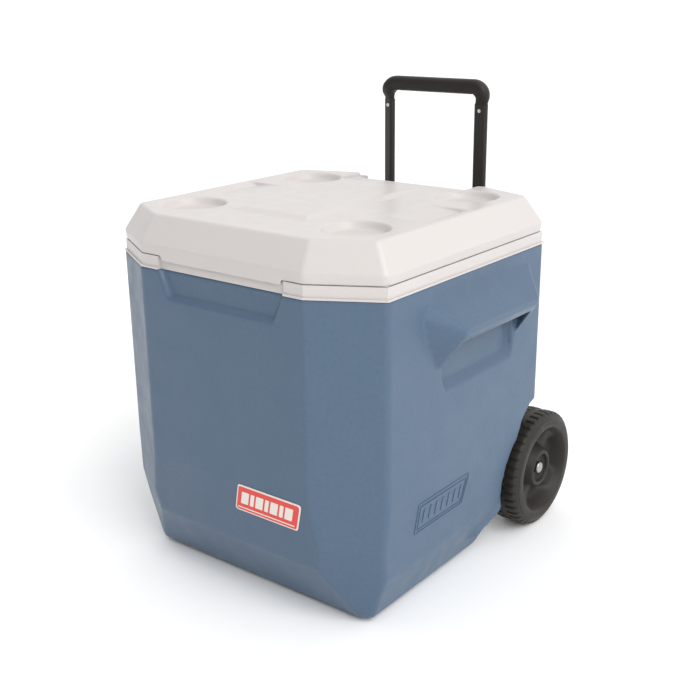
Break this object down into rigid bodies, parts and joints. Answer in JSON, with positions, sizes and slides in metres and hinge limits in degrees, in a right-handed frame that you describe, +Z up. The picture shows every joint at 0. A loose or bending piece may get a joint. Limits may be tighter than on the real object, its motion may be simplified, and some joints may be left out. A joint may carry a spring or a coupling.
{
  "type": "wheeled cooler",
  "caption": "Foam-insulated cooler box with a hinged lid, cup recesses, moulded side handles, rear wheels and a telescoping pull handle.",
  "frame": {"origin": "on the floor under the middle of the body's plan, on the underside of the centre runner", "axes": "+Z up, +X to the right along the axle seen from the front, +Y from the front face towards the handle and wheels"},
  "size_m": [0.504, 0.5113, 0.63],
  "materials": {
    "blue_shell": "moulded polyethylene with a fine pebble grain",
    "white_plastic": "satin moulded plastic",
    "foam": "rigid insulating foam, hidden",
    "bright_steel": "zinc plated",
    "black_tube": "satin black coating",
    "black_plastic": "fine grained moulding",
    "wheel_plastic": "moulded, slightly worn tread",
    "badge_red": "printed label plate",
    "drain_rubber": "soft moulded"
  },
  "bodies": {
    "body": {"axle": "bright_steel", "axle_bracket_left": "black_plastic", "axle_bracket_right": "black_plastic", "axle_screws": "bright_steel", "body_foam": "foam", "body_shell": "blue_shell", "bracket_screws": "bright_steel", "drain_nut": "white_plastic", "drain_spout": "white_plastic", "drain_washer": "drain_rubber", "front_badge": "badge_red", "guide_tube_left": "black_tube", "guide_tube_right": "black_tube", "hinge_bracket_left": "white_plastic", "hinge_bracket_right": "white_plastic", "hinge_pin_left": "bright_steel", "hinge_pin_right": "bright_steel", "hinge_screws": "bright_steel", "inner_liner": "white_plastic", "lower_bracket": "black_plastic", "push_nut_left": "bright_steel", "push_nut_right": "bright_steel", "upper_bracket": "black_plastic", "wheel_washer_left": "bright_steel", "wheel_washer_right": "bright_steel"},
    "lid": {"hinge_leaf_left": "white_plastic", "hinge_leaf_right": "white_plastic", "leaf_screws": "bright_steel", "lid_foam": "foam", "lid_liner": "white_plastic", "lid_shell": "white_plastic"},
    "handle": {"grip_rivets": "bright_steel", "handle_grip": "black_plastic", "handle_tube_left": "black_tube", "handle_tube_right": "black_tube", "tube_plug_left": "black_plastic", "tube_plug_right": "black_plastic"},
    "wheel_right": {"wheel_right": "wheel_plastic"},
    "wheel_left": {"wheel_left": "wheel_plastic"},
    "drain_cap": {"drain_cap": "drain_rubber"}
  },
  "joints": [
    {"name": "lid_hinge", "type": "hinge", "parent": "body", "child": "lid", "pos_m": [0, 0.215, 0.476], "axis": [-1, 0, 0], "range_deg": [0, 85]},
    {"name": "handle_slide", "type": "slide", "parent": "body", "child": "handle", "axis": [0, 0, 1], "range_m": [-0.148, 0]},
    {"name": "wheel_spin_right", "type": "hinge", "parent": "body", "child": "wheel_right", "pos_m": [0.202, 0.204, 0.085], "axis": [1, 0, 0], "continuous": true},
    {"name": "wheel_spin_left", "type": "hinge", "parent": "body", "child": "wheel_left", "pos_m": [-0.202, 0.204, 0.085], "axis": [1, 0, 0], "continuous": true},
    {"name": "drain_flap", "type": "hinge", "parent": "body", "child": "drain_cap", "pos_m": [-0.198, -0.06, 0.073], "axis": [0, 1, 0], "range_deg": [0, 78]}
  ]
}
